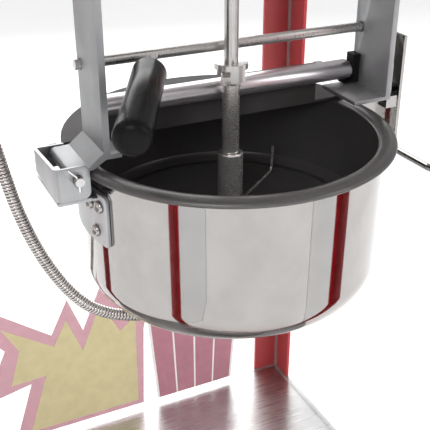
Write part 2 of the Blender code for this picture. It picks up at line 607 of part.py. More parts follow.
def lever(group):
    """Lever over the cross bar: a cross shaft with a hold-down plate at the right."""
    shaft = cylinder((0, LEVER.y, LEVER.z), 3.5, WEB_LEFT - WEB - 4, 126, (1, 0, 0), 16)
    shaft = add("lever_shaft", shaft, BRUSHED_STEEL, group)
    plate = prism([(-19, 18), (-9, 18), (16, 55), (16, 66), (6, 68), (-19, 40)], "X", 121.3, 124.3)
    ahead = (GRIP_NECK - GRIP_END).normalized()
    rod = [GRIP_END + ahead * 20, GRIP_NECK + ahead * 8, Vector((LEVER_X, LEVER.y, LEVER.z))]
    boolean(shaft, "UNION", [plate, wire(rounded(rod, 5), 6, 10)])
    long = (GRIP_NECK - GRIP_END).length
    bore = 3.4
    profile = [(0, 0), (9.6, 0), (12, 2.4), (12, 9), (11.3, long * 0.5), (11.5, long)]
    profile += [(bore, long), (bore, 14), (0, 14)]
    add("lever_grip", lathe(profile, GRIP_END, 24, ahead), BLACK_PLASTIC, group)


def conduit(machine):
    """Armoured conduit that carries the heater's wires, and its ceiling gland."""
    add("conduit", wire(smooth(CONDUIT_ROUTE), CONDUIT_D), BRUSHED_STEEL, machine)
    z = CEILING
    gland = [(5, z + 6), (5, z - 2.3), (11, z - 2.3), (11, z - 10), (8, z - 12), (8, z - 34)]
    gland += [(5.8, z - 34), (5.8, z - 24), (3.6, z - 24), (3.6, z + 6)]
    gland = lathe(gland, (CEILING_GLAND.x, CEILING_GLAND.y, 0), 16)
    add("ceiling_gland", gland, BRUSHED_STEEL, machine)


def build():
    clear_scene()
    machine = empty("machine", (0, 0, 0))
    machine.location = Vector((RIM_X, RIM_Y, RIM_HEIGHT)) * MM
    base(machine)
    drawer(machine)
    posts(machine)
    panes(machine)
    doors(machine)
    canopy(machine)
    hanger(machine)
    conduit(machine)
    rear_lid(empty("lid_axis", LID_HINGE, machine))
    lever(empty("lever_axis", LEVER, machine))
    drive(empty("drive_axis", (0, 0, 0), machine))
    tipping = empty("kettle_axis", PIN, machine)
    kettle(tipping)
    kettle_hinge(tipping, machine)
    latch_side(tipping)
    agitator(empty("agitator_axis", (0, 0, 0), tipping))


build()
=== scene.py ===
"""Looks for the countertop popcorn machine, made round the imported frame.

Lengths are in millimetres from the centre of the kettle's rolled rim, as in the CAD, and
become metres in the frame's own axes when a mesh is made.
"""

import json
import math

import bmesh
import bpy
from mathutils import Matrix, Vector

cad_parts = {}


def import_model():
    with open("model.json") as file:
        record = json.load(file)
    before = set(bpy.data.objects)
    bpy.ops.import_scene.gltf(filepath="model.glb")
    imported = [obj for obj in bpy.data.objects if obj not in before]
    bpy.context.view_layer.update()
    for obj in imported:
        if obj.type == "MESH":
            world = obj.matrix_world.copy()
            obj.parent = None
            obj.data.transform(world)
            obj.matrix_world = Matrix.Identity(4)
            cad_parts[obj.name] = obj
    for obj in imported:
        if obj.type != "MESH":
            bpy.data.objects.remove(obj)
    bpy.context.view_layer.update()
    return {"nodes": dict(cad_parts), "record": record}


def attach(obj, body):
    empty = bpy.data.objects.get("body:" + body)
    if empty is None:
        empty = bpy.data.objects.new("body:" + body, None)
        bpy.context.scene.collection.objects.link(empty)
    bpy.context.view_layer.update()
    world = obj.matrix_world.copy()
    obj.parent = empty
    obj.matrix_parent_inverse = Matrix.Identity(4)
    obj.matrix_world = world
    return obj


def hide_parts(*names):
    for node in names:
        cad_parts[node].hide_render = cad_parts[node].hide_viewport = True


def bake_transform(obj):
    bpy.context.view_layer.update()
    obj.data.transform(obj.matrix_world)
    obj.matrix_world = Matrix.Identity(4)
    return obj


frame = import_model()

KETTLE = Vector((75.0, 104.78, 500.0))  # the rim's centre in the frame, in millimetres
MM = 0.001

# Sizes repeat the CAD's, except where a comment says otherwise
GAP = 0.3  # between pieces that touch

# Cabinet
LEFT, RIGHT, FRONT, BACK = -315.0, 165.0, -180.0, 200.0
FLOOR, CEILING = -395.0, 190.0
MIDDLE = (LEFT + RIGHT) / 2
POST_SHEET, GLASS = 3.0, 4.0
DOOR_OPEN, DOOR_SETBACK = 107.5, 9.0
DOOR_HINGE_R, DOOR_HINGE_BORE, DOOR_HINGE_TALL = 4.6, 2.5, 26.0

# Kettle
RIM_R, RIM_WIDE, RIM_TALL = 118.0, 13.4, 6.2
PAN_R, PAN_SHEET, PAN_FLOOR = 104.6, 1.5, -64.0
PAN_CORNER, PAN_UNDER_CORNER = 5.0, 12.0  # inside and below. The CAD has 12 for both
SHELL_R, SHELL_SHEET, SHELL_BOTTOM, SHELL_FILLET = 109.3, 1.2, -114.0, 26.0
SHELL_HOLE = 60.0  # radius of the opening in the shell's bottom

# Agitator
SHAFT_R, SHAFT_TOP = 6.2, 38.0
BLADE_REACH, BLADE = 7.2, 2.4
SLEEVE_R, SLEEVE_BORE, SLEEVE_TOP, SLEEVE_FOOT = 9.3, 7.3, -14.0, -62.0
WIRE_D, WIRE_ANGLE = 2.4, 38.3
LONG_REACH, LONG_TALL, SHORT_REACH, SHORT_TALL = 80.7, 21.5, 58.0, 14.0

# Hanger frame
PIN = Vector((-123.2, 0.0, 1.0))  # axis the kettle tips about, along Y
KNUCKLE_R, PIN_BORE = 4.6, 3.3
HANGER_FRONT, HANGER_BACK = -27.0, 17.0
WEB_LEFT, WEB_RIGHT, WEB, WEB_TOP = -99.3, 113.5, 4.5, CEILING - 2.3
BAR_Y, BAR_Z, BAR_DEEP, BAR_TALL, BAR_END = 14.0, 29.0, 12.0, 13.6, 107.0
BAR_ROUND = 6.7  # radius of its front edges. The CAD has 4

# Hinge
CLEVIS_FRONT, CLEVIS_BACK = HANGER_FRONT - 4.5, HANGER_BACK + 4.5
CLEVIS_LEFT, CLEVIS_LOW, CLEVIS_HIGH = -138.0, -13.2, 10.0
CLEVIS_SHEET, CLEVIS_CORNER = 2.3, 5.0
CLEVIS_BEND = 4.0  # outer radius of its two bends, which the CAD leaves square
STRAP_HALF = 17.5  # half the strap's width, in degrees round the shell
STRAP_FOOT, STRAP_SHEET = -52.0, 2.4

# Lever
LEVER, LEVER_BORE = Vector((0.0, 11.0, 62.0)), 3.9  # axis of its cross shaft, along X
GRIP_END, GRIP_NECK = Vector((-104.4, -81.0, 40.9)), Vector((-62.4, -5.5, 55.2))

# Conduit. The turns of its armour are not in the CAD
CONDUIT_D, CONDUIT_SIDES = 10.0, 20
CONDUIT_PITCH, CONDUIT_DEPTH = 2.7, 0.20  # length of a turn, and depth of its groove in radii
CONDUIT_ROUTE = (
    (-10, 45, -127), (-10.6, 45.3, -141), (-15.6, 46.4, -154.4), (-25.2, 48, -165),
    (-38, 50, -171), (-52, 52, -172.6), (-66, 54, -170.3), (-82, 56.3, -165),
    (-99, 58.2, -153.5), (-114.5, 59.4, -134), (-128, 60, -108.5), (-138.3, 60, -82),
    (-146, 60, -55.5), (-151.8, 60, -28), (-157, 60, 0), (-163, 60, 30), (-171, 61, 60),
    (-180, 61.5, 90), (-187, 62, 119), (-190, 62, 142), (-190, 62, 164),
)


def world(point):
    return (Vector(point) + KETTLE) * MM


# Camera: at the photograph's viewing angle, with no shift
CAMERA_PLACE, CAMERA_TURN = (-250.64, -496.51, 221.98), (62.62, 0.0, -25.64)
CAMERA_LENS, CAMERA_SENSOR = 69.5, 36.0


def make_camera():
    data = bpy.data.cameras.new("camera")
    data.lens, data.sensor_width = CAMERA_LENS, CAMERA_SENSOR
    data.clip_start = 0.01
    camera = bpy.data.objects.new("camera", data)
    camera.location = world(CAMERA_PLACE)
    camera.rotation_euler = [math.radians(a) for a in CAMERA_TURN]
    bpy.context.scene.collection.objects.link(camera)
    bpy.context.scene.camera = camera


make_camera()


# Materials
class Material:
    """A Principled material and short ways to build its nodes."""

    def __init__(self, name, **values):
        self.made = bpy.data.materials.new(name)
        self.made.use_nodes = True
        self.tree = self.made.node_tree
        self.shader = self.tree.nodes["Principled BSDF"]
        for key, value in values.items():
            socket = self.shader.inputs[key.replace("_", " ")]
            socket.default_value = value
        self.place = self.node("ShaderNodeTexCoord").outputs["Object"]

    def node(self, kind, inputs=None, **settings):
        made = self.tree.nodes.new(kind)
        for key, value in settings.items():
            setattr(made, key, value)
        for key, value in (inputs or {}).items():
            if isinstance(value, bpy.types.NodeSocket):
                self.tree.links.new(value, made.inputs[key])
            else:
                made.inputs[key].default_value = value
        return made

    def stretched(self, scale):
        mapped = self.node("ShaderNodeMapping", {"Vector": self.place})
        mapped.inputs["Scale"].default_value = scale
        return mapped.outputs["Vector"]

    def noise(self, scale, detail=4.0, roughness=0.5, stretch=(1, 1, 1)):
        inputs = {"Vector": self.stretched(stretch), "Scale": scale, "Detail": detail}
        inputs["Roughness"] = roughness
        return self.node("ShaderNodeTexNoise", inputs).outputs["Fac"]

    def ramp(self, factor, low, high, start=0.3, end=0.7):
        """A colour or a grey between two values."""
        made = self.node("ShaderNodeValToRGB", {"Fac": factor})
        low, high = [(v, v, v) if isinstance(v, float) else v for v in (low, high)]
        first, last = made.color_ramp.elements
        first.position, last.position = start, end
        first.color, last.color = (*low, 1.0), (*high, 1.0)
        return made.outputs["Color"]

    def use(self, socket, output):
        self.tree.links.new(output, self.shader.inputs[socket])
        return self

    def bump(self, height, strength, distance=0.001):
        inputs = {"Height": height, "Strength": strength, "Distance": distance}
        made = self.node("ShaderNodeBump", inputs)
        return self.use("Normal", made.outputs["Normal"])


def mirror_steel():
    """Polished sheet: fine lines round it, a slight haze and a few smudges."""
    m = Material("mirror_steel", Metallic=1.0)
    smudge = m.noise(38.0, 5.0, 0.6)
    m.use("Base Color", m.ramp(smudge, (0.355, 0.343, 0.333), (0.40, 0.388, 0.377)))
    lines = m.noise(900.0, 2.0, 0.5, (0.03, 0.03, 1.0))
    blur = m.node("ShaderNodeMath", {0: smudge, 1: lines}, operation="MULTIPLY")
    m.use("Roughness", m.ramp(blur.outputs[0], 0.03, 0.09, 0.1, 0.5))
    return m.bump(lines, 0.010, 0.0002).made


def brushed(name, low, high, along, rough=(0.22, 0.42), strength=0.12, metallic=1.0):
    """Metal brushed along one axis."""
    m = Material(name, Metallic=metallic)
    stretch = tuple(0.02 if i == "XYZ".index(along) else 1.0 for i in range(3))
    grain = m.noise(1400.0, 3.0, 0.6, stretch)
    cloud = m.noise(30.0, 3.0)
    m.use("Base Color", m.ramp(cloud, low, high))
    m.use("Roughness", m.ramp(grain, rough[0], rough[1]))
    return m.bump(grain, strength, 0.0003).made


def chrome():
    m = Material("chrome", Metallic=1.0)
    film = m.noise(60.0, 4.0)
    m.use("Base Color", m.ramp(film, (0.80, 0.80, 0.81), (0.90, 0.90, 0.91)))
    m.use("Roughness", m.ramp(film, 0.04, 0.12))
    return m.bump(m.noise(500.0), 0.01, 0.0002).made


def cast(name, low, high, grain, rough, strength, **values):
    """A coat, casting or moulding: a grainy bump, and tone and gloss that vary a little."""
    m = Material(name, **values)
    patch = m.noise(24.0, 4.0)
    m.use("Base Color", m.ramp(patch, low, high))
    fine = m.noise(grain, 2.0)
    m.use("Roughness", m.ramp(fine, rough[0], rough[1]))
    return m.bump(fine, strength, 0.0003).made


def non_stick():
    """Dark metallic-grey coat with fine pale specks and a faint ripple from spraying."""
    m = Material("non_stick", Metallic=0.35, Specular_IOR_Level=0.45)
    specks = m.noise(2600.0, 1.0)
    tone = m.ramp(specks, (0.105, 0.100, 0.100), (0.24, 0.23, 0.23), 0.58, 0.80)
    m.use("Base Color", tone)
    ripple = m.noise(420.0, 3.0)
    m.use("Roughness", m.ramp(ripple, 0.30, 0.35))
    return m.bump(ripple, 0.025, 0.0003).made


def red_paint():
    m = Material("red_paint", Coat_Weight=0.10, Coat_Roughness=0.15,
                 Specular_IOR_Level=0.3)
    tone = m.noise(12.0, 3.0)
    m.use("Base Color", m.ramp(tone, (0.50, 0.004, 0.011), (0.59, 0.007, 0.017)))
    peel = m.noise(650.0, 2.0)
    m.use("Roughness", m.ramp(peel, 0.32, 0.44))
    return m.bump(peel, 0.05, 0.0003).made


def clear(name, tint, alpha):
    """Clear sheet, kept thin to the eye with alpha so it needs no refraction."""
    m = Material(name, Alpha=alpha, Specular_IOR_Level=0.4)
    dust = m.noise(140.0, 5.0)
    m.use("Base Color", m.ramp(dust, tint, tuple(min(1.0, c * 1.04) for c in tint)))
    m.use("Roughness", m.ramp(dust, 0.02, 0.07))
    m.made.surface_render_method = "BLENDED"
    return m.bump(m.noise(9.0, 2.0), 0.006, 0.001).made


def printed():
    """Enamel face with a plain band of stripes and no lettering."""
    m = Material("white_panel")
    parts = m.node("ShaderNodeSeparateXYZ", {"Vector": m.place})
    wave = m.node("ShaderNodeMath", {0: parts.outputs["X"], 1: 190.0}, operation="MULTIPLY")
    wave = m.node("ShaderNodeMath", {0: wave.outputs[0]}, operation="SINE")
    stripes = m.ramp(wave.outputs[0], (0.86, 0.82, 0.72), (0.55, 0.03, 0.04), 0.48, 0.52)
    m.use("Base Color", stripes)
    m.use("Roughness", m.ramp(m.noise(300.0), 0.22, 0.34))
    return m.bump(m.noise(700.0), 0.03, 0.0003).made


LOOK = {
    "mirror_steel": mirror_steel(),
    "chrome": chrome(),
    "non_stick": non_stick(),
    "red_paint": red_paint(),
    "white_panel": printed(),
    "brushed_steel": brushed("brushed_steel", (0.56, 0.55, 0.54), (0.68, 0.67, 0.66), "Z"),
    "shaft_steel": brushed("shaft_steel", (0.70, 0.67, 0.64), (0.90, 0.88, 0.86), "X",
                           (0.22, 0.34), 0.06, 0.84),
    "bar_metal": brushed("bar_metal", (0.60, 0.575, 0.60), (0.72, 0.69, 0.715), "X",
                         (0.26, 0.36), 0.03, 0.85),
    "armour_steel": brushed("armour_steel", (0.52, 0.50, 0.48), (0.66, 0.64, 0.62), "X",
                            (0.16, 0.28), 0.03),
    # Near-black copy of the armour steel for the conduit's grooves: painted shade in the
    # recesses, not a different metal
    "groove_painted_shade": brushed("groove_painted_shade", (0.045, 0.042, 0.040), (0.085, 0.080, 0.075), "X",
                             (0.40, 0.60), 0.10, 0.6),
    "rivet_steel": brushed("rivet_steel", (0.36, 0.35, 0.34), (0.48, 0.46, 0.44), "X",
                           (0.14, 0.24), 0.03),
    "floor_steel": brushed("floor_steel", (0.50, 0.50, 0.50), (0.60, 0.60, 0.60), "X"),
    "aluminium": brushed("aluminium", (0.40, 0.41, 0.42), (0.50, 0.51, 0.52), "Z",
                         (0.36, 0.50), 0.06),
    "web_metal": brushed("web_metal", (0.36, 0.37, 0.38), (0.46, 0.47, 0.48), "Z",
                         (0.50, 0.62), 0.08),
    # The rear lid's dark grey and high roughness are painted reflection: they stand for the dark
    # canopy ceiling mirrored in its top
    "lid_painted_reflection": cast("lid_painted_reflection", (0.055, 0.052, 0.052), (0.080, 0.076, 0.076), 1200.0,
                     (0.55, 0.70), 0.10, Specular_IOR_Level=0.22),
    "black_plastic": cast("black_plastic", (0.0085, 0.0085, 0.0090), (0.013, 0.013, 0.0135),
                          1500.0, (0.20, 0.26), 0.010, Specular_IOR_Level=0.07),
    "black_rubber": cast("black_rubber", (0.016, 0.016, 0.016), (0.028, 0.028, 0.028), 500.0,
                         (0.62, 0.80), 0.25),
    "dark_steel": cast("dark_steel", (0.16, 0.16, 0.17), (0.24, 0.24, 0.25), 700.0,
                       (0.38, 0.55), 0.10, Metallic=0.8),
    "lamp_glass": cast("lamp_glass", (0.90, 0.88, 0.80), (0.96, 0.94, 0.88), 400.0,
                       (0.12, 0.22), 0.03),
    "clear_glass": clear("clear_glass", (0.90, 0.95, 0.94), 0.035),
    "clear_acrylic": clear("clear_acrylic", (0.56, 0.65, 0.68), 0.13),
    "glass_edge": clear("glass_edge", (0.50, 0.62, 0.58), 0.28),
    "acrylic_edge": clear("acrylic_edge", (0.34, 0.43, 0.46), 0.80),
}


# Mesh tools
SHARP = 35.0  # degrees. A larger angle between two faces is an edge


def box(x0, x1, y0, y1, z0, z1):
    shape = bmesh.new()
    bmesh.ops.create_cube(shape, size=1.0)
    bmesh.ops.scale(shape, vec=(x1 - x0, y1 - y0, z1 - z0), verts=shape.verts)
    centre = ((x0 + x1) / 2, (y0 + y1) / 2, (z0 + z1) / 2)
    bmesh.ops.translate(shape, vec=centre, verts=shape.verts)
    return shape


def prism(outline, along, start, end):
    """A flat outline pushed along an axis."""
    put = {
        "X": lambda u, v, w: (w, u, v),
        "Y": lambda u, v, w: (u, w, v),
        "Z": lambda u, v, w: (u, v, w),
    }[along]
    shape = bmesh.new()
    ends = [[shape.verts.new(put(u, v, w)) for u, v in outline] for w in (start, end)]
    for ring in ends:
        shape.faces.new(ring)
    for i in range(len(outline)):
        j = (i + 1) % len(outline)
        shape.faces.new((ends[0][i], ends[0][j], ends[1][j], ends[1][i]))
    return shape


def lathe(profile, centre=(0, 0, 0), segments=96, towards=(0, 0, 1)):
    """A closed outline of (radius, height) turned round an axis."""
    shape = bmesh.new()
    rings = []
    for radius, height in profile:
        if radius < 1e-6:
            rings.append([shape.verts.new((0, 0, height))] * segments)
            continue
        turns = [math.tau * i / segments for i in range(segments)]
        points = [(radius * math.cos(a), radius * math.sin(a), height) for a in turns]
        rings.append([shape.verts.new(point) for point in points])
    for ring, following in zip(rings, rings[1:] + rings[:1]):
        for i in range(segments):
            j = (i + 1) % segments
            corners = [ring[i], ring[j], following[j], following[i]]
            corners = [c for n, c in enumerate(corners) if c not in corners[:n]]
            if len(corners) > 2:
                shape.faces.new(corners)
    turn = Vector((0, 0, 1)).rotation_difference(Vector(towards)).to_matrix().to_4x4()
    matrix = Matrix.Translation(Vector(centre)) @ turn
    bmesh.ops.transform(shape, matrix=matrix, verts=shape.verts)
    return shape


def cylinder(centre, radius, start, end, towards=(0, 0, 1), segments=32):
    profile = [(0, start), (radius, start), (radius, end), (0, end)]
    return lathe(profile, centre, segments, towards)


def arc(centre, radius, start, end, steps):
    turns = [math.radians(start + (end - start) * i / steps) for i in range(steps + 1)]
    return [(centre[0] + radius * math.cos(a), centre[1] + radius * math.sin(a)) for a in turns]


def rounded(points, radius, steps=8):
    """A path of straight runs with its corners turned at a radius."""
    points = [Vector(p) for p in points]
    path = [points[0]]
    for before, corner, after in zip(points, points[1:], points[2:]):
        back, ahead = (before - corner).normalized(), (after - corner).normalized()
        reach = radius / math.tan(back.angle(ahead) / 2)
        first, last = corner + back * reach, corner + ahead * reach
        for i in range(steps + 1):
            t = i / steps
            path.append(first * (1 - t) ** 2 + corner * 2 * t * (1 - t) + last * t**2)
    return path + [points[-1]]


def smooth(points, steps):
    """A smooth curve through given points (Catmull-Rom)."""
    points = [Vector(p) for p in points]
    points = [2 * points[0] - points[1], *points, 2 * points[-1] - points[-2]]
    path = []
    for a, b, c, d in zip(points, points[1:], points[2:], points[3:]):
        for i in range(steps):
            t = i / steps
            square = (2 * a - 5 * b + 4 * c - d) * t**2
            cube = (3 * b - a - 3 * c + d) * t**3
            path.append(0.5 * (2 * b + (c - a) * t + square + cube))
    return path + [points[-2]]


def wire(path, diameter, sides=16, swell=None):
    """A round rod along a path. swell gives the diameter's factor at a distance along it."""
    shape = bmesh.new()
    rings = []
    across = (path[1] - path[0]).orthogonal().normalized()
    along = 0.0
    for i, point in enumerate(path):
        if i:
            along += (point - path[i - 1]).length
        ahead = (path[min(i + 1, len(path) - 1)] - path[max(i - 1, 0)]).normalized()
        across = (across - ahead * across.dot(ahead)).normalized()
        other = ahead.cross(across)
        size = diameter / 2 * (swell(along) if swell else 1.0)
        ring = []
        for k in range(sides):
            a = math.tau * k / sides
            out = across * math.cos(a) + other * math.sin(a)
            ring.append(shape.verts.new(point + out * size))
        rings.append(ring)
    for ring, following in zip(rings, rings[1:]):
        for k in range(sides):
            n = (k + 1) % sides
            shape.faces.new((ring[k], ring[n], following[n], following[k]))
    shape.faces.new(rings[0])
    shape.faces.new(rings[-1])
    return shape


def make(name, shape, look, bevel=0.0, joins=(), keeps=(), cuts=(), sharp=SHARP):
    """A bmesh in the kettle's frame becomes an object in the frame's axes.

    joins are added to it, then only what lies inside each of keeps is left, then cuts come off.
    """
    bmesh.ops.recalc_face_normals(shape, faces=shape.faces)
    bmesh.ops.translate(shape, vec=KETTLE, verts=shape.verts)
    bmesh.ops.scale(shape, vec=(MM, MM, MM), verts=shape.verts)
    mesh = bpy.data.meshes.new(name)
    shape.to_mesh(mesh)
    shape.free()
    made = bpy.data.objects.new(name, mesh)
    bpy.context.scene.collection.objects.link(made)
    made.data.materials.append(LOOK[look])
    for operation, shapes in (("UNION", joins), ("INTERSECT", keeps), ("DIFFERENCE", cuts)):
        for other in shapes:
            helper = make(f"{name}_helper", other, look)
            modifier = made.modifiers.new("boolean", "BOOLEAN")
            modifier.operation, modifier.solver, modifier.object = operation, "EXACT", helper
            apply(made)
            bpy.data.objects.remove(helper)
    if bevel:
        edge = made.modifiers.new("edge", "BEVEL")
        edge.width, edge.segments = bevel * MM, 2
        edge.limit_method, edge.angle_limit = "ANGLE", math.radians(SHARP)
        edge.harden_normals = False
        apply(made)
    made.data.shade_smooth()
    made.data.set_sharp_from_angle(angle=math.radians(sharp))
    return made


def apply(obj):
    """Writes an object's modifiers into its mesh."""
    bpy.context.view_layer.update()
    graph = bpy.context.evaluated_depsgraph_get()
    mesh = bpy.data.meshes.new_from_object(obj.evaluated_get(graph))
    obj.modifiers.clear()
    obj.data = mesh


def piece(name, shape, look, body, nodes=(), slot=None, **options):
    """A piece that rides on a body, and stands for CAD nodes where some are named."""
    made = make(name, shape, look, **options)
    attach(made, body)
    if nodes:
        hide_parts(*nodes)
    return made


# Rebuilt pieces
def conduit():
    """Armoured conduit: interlocked turns, each a rounded ridge with a groove after it. The
    groove's faces take a near-black material, which is painted shade for the dark in the
    grooves.
    """
    route = smooth(CONDUIT_ROUTE, 130)

    def turns(along):
        t = (along / CONDUIT_PITCH) % 1.0
        return 1.0 - CONDUIT_DEPTH * (1.0 - math.sin(math.pi * t) ** 0.55)

    shape = wire(route, CONDUIT_D, CONDUIT_SIDES, turns)
    made = make("conduit_armour", shape, "armour_steel", sharp=80)
    made.data.materials.append(LOOK["groove_painted_shade"])
    steps = [0.0]
    for a, b in zip(route, route[1:]):
        steps.append(steps[-1] + (b - a).length)
    # Faces deep in each groove take the near-black material: painted shade where the recess is
    # dark
    for face in made.data.polygons:
        ring = min(face.vertices) // CONDUIT_SIDES
        if ring < len(steps) and turns(steps[ring]) < 1.0 - 0.45 * CONDUIT_DEPTH:
            face.material_index = 1
    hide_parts("conduit")
    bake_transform(made)


conduit()


def pan():
    """Pan with its rolled rim, and a low ring pressed into its floor."""
    wide, tall, inner, low = RIM_WIDE / 2, RIM_TALL / 2, PAN_R, PAN_FLOOR
    middle = RIM_R - wide
    bead = [(middle + wide * math.cos(t), tall * math.sin(t))
            for t in [math.tau * i / 32 for i in range(32)]]
    turn = arc((inner - PAN_CORNER, low + PAN_CORNER), PAN_CORNER, 0, -90, 10)
    under = arc((inner - PAN_UNDER_CORNER, low + PAN_UNDER_CORNER),
                PAN_UNDER_CORNER + PAN_SHEET, -90, 0, 12)
    ring = [(inner - inset, low + up)
            for inset, up in ((10, 0), (11.2, 0.8), (13, 1), (14.8, 0.8), (16, 0))]
    profile = [(inner + 0.1, 0.5), *turn, *ring, (0, low)]
    profile += [(0, low - PAN_SHEET), *under, (inner + PAN_SHEET, 0.5)]
    piece("pan", lathe(profile, segments=160), "non_stick", "kettle", ["kettle_pan"],
          joins=[lathe(bead, segments=160)])


def shell():
    out, t, low, fillet = SHELL_R, SHELL_SHEET, SHELL_BOTTOM, SHELL_FILLET
    outside = arc((out - fillet, low + fillet), fillet, 0, -90, 16)
    inside = arc((out - fillet, low + fillet), fillet - t, -90, 0, 16)
    top = -RIM_TALL / 2 - GAP
    wall = [(out - 0.4, top), (out, top - 0.4), *outside, (SHELL_HOLE, low)]
    wall += [(SHELL_HOLE, low + t), *inside, (out - t, top)]
    piece("shell", lathe(wall, segments=192), "mirror_steel", "kettle", ["kettle_shell"])


pan()
shell()


def agitator():
    body = "agitator"
    edge = 0.8
    blade = box(-BLADE_REACH, BLADE_REACH, -BLADE / 2, BLADE / 2, SHAFT_TOP - 6, SHAFT_TOP + 8)
    rod = [(0, SLEEVE_FOOT + 1), (SHAFT_R, SLEEVE_FOOT + 1), (SHAFT_R, SHAFT_TOP - edge),
           (SHAFT_R - edge, SHAFT_TOP), (0, SHAFT_TOP)]
    piece("shaft", lathe(rod, segments=64), "shaft_steel", body, ["agitator_shaft"],
          "brushed_steel", joins=[blade])
    tube = [(SLEEVE_BORE, SLEEVE_FOOT), (SLEEVE_R, SLEEVE_FOOT), (SLEEVE_R, SLEEVE_TOP - edge),
            (SLEEVE_R - edge, SLEEVE_TOP), (SLEEVE_BORE, SLEEVE_TOP)]
    piece("sleeve", lathe(tube, segments=64), "shaft_steel", body, ["agitator_sleeve"],
          "brushed_steel")
    low = PAN_FLOOR + GAP + WIRE_D / 2 + 0.6
    wires = (("long", WIRE_ANGLE, LONG_REACH, LONG_TALL),
             ("short", WIRE_ANGLE + 180, SHORT_REACH, SHORT_TALL))
    for name, angle, reach, tall in wires:
        ahead = Vector((math.cos(math.radians(angle)), math.sin(math.radians(angle)), 0))
        bends = [ahead * (SLEEVE_R + GAP), ahead * reach]
        bends.append(ahead * (reach + 1.5) + Vector((0, 0, tall)))
        path = rounded([p + Vector((0, 0, low)) for p in bends], 6)
        piece(f"wire_{name}", wire(path, WIRE_D, 16), "shaft_steel", body,
              [f"stir_wire_{name}"], "brushed_steel")


agitator()


def webs():
    front, back, hole = HANGER_FRONT, HANGER_BACK, (0, LEVER.y, LEVER.z)
    outer = WEB_LEFT - WEB
    left = [
        (outer, WEB_TOP), (outer, 14.0), (-114.2, 5.8), (-122.5, 5.4), (-122.5, 3.7),
        (-111.2, 3.7), (-102.4, 9.2), (-91.5, 9.2), (-91.5, 12.3), (WEB_LEFT, 12.3),
        (WEB_LEFT, WEB_TOP),
    ]
    piece("web_left", prism(left, "Y", front, back), "web_metal", "cabinet", ["hanger_left"],
          "aluminium", bevel=0.45,
          joins=[cylinder(PIN, KNUCKLE_R, front, back, (0, 1, 0))],
          cuts=[cylinder(PIN, PIN_BORE, front - 5, back + 5, (0, 1, 0)),
                cylinder(hole, LEVER_BORE, -130, -80, (1, 0, 0))])
    x, outer = WEB_RIGHT, WEB_RIGHT + WEB
    right = [(x, WEB_TOP), (x, 19), (86.5, 19), (86.5, 16), (outer, 16), (outer, WEB_TOP)]
    piece("web_right", prism(right, "Y", front, back), "web_metal", "cabinet", ["hanger_right"],
          "aluminium", bevel=0.45, cuts=[cylinder(hole, LEVER_BORE, 100, 130, (1, 0, 0))])


def cross_bar():
    """Flat behind and well rounded in front."""
    y, z, high, deep, r = BAR_Y, BAR_Z, BAR_TALL / 2, BAR_DEEP / 2, BAR_ROUND
    outline = [
        *arc((y - deep + r, z - high + r), r, 270, 180, 14),
        *arc((y - deep + r, z + high - r), r, 180, 90, 14),
        (y + deep, z + high), (y + deep, z - high),
    ]
    piece("bar", prism(outline, "X", WEB_LEFT + GAP, BAR_END), "bar_metal", "cabinet",
          ["cross_bar"], "chrome", bevel=0.25)


webs()
cross_bar()


def clevis():
    """Bent from sheet. It narrows a little towards the back, which the CAD's does not."""
    front, back, left, t = CLEVIS_FRONT, CLEVIS_BACK, CLEVIS_LEFT, CLEVIS_SHEET
    low, high, bend, corner = CLEVIS_LOW, CLEVIS_HIGH, CLEVIS_BEND, CLEVIS_CORNER
    near, far = -115.0, -117.0  # ends of the front and back arms, clear of the rim
    plan = [(near, front), (near, front + t)]
    plan += arc((left + bend, front + bend), bend - t, 270, 180, 6)
    plan += arc((left + bend, back - bend), bend - t, 180, 90, 6)
    plan += [(far, back - t), (far, back)]
    plan += arc((left + bend, back - bend), bend, 90, 180, 8)
    plan += arc((left + bend, front + bend), bend, 180, 270, 8)
    side = [(left - 5, low), *arc((near - corner, low + corner), corner, -90, 0, 8)]
    side += [*arc((near - corner, high - corner), corner, 0, 90, 8), (left - 5, high)]
    taper = [(front - 1, low), (back + 1, low + 3.5), (back + 1, high - 4.3), (front - 1, high)]
    piece("clevis", prism(plan, "Z", low, high), "aluminium", "kettle", ["hinge_clevis"],
          bevel=0.4,
          keeps=[prism(side, "Y", front - 5, back + 5), prism(taper, "X", left - 5, -100)],
          cuts=[cylinder(PIN, PIN_BORE, front - 5, back + 5, (0, 1, 0))])


def rivets():
    """Three tubular rivets, each with a rolled lip and a hollow middle."""
    head = [(0, 0), (4.4, 0), (4.35, 0.8), (3.9, 1.6), (3.2, 2.0), (2.5, 1.7), (1.9, 0.9),
            (1.5, 0.5), (0, 0.45)]
    seat = SHELL_R + GAP + STRAP_SHEET + GAP
    for number, (angle, z) in enumerate(((-13.4, -23.5), (-6.9, -25), (-10.5, -43)), 1):
        turn = math.radians(angle)
        out = Vector((-math.cos(turn), math.sin(turn), 0))
        place = out * seat + Vector((0, 0, z))
        piece(f"rivet_{number}", lathe(head, place, 40, out), "rivet_steel", "kettle",
              [f"hinge_rivet_{number}"], "chrome", sharp=60)


def rounded_off(y, z, radius, inward, up):
    """Cutter that rounds one corner of the strap, at (y, z)."""
    turn = [(y + inward * radius * (1 - math.cos(t)), z - up * radius * (1 - math.sin(t)))
            for t in [math.pi / 2 * i / 8 for i in range(9)]]
    outline = [(y - inward * 3, z + up * 3), (y - inward * 3, z - up * radius), *turn,
               (y + inward * radius, z + up * 3)]
    return prism(outline, "X", -114.6, -98)


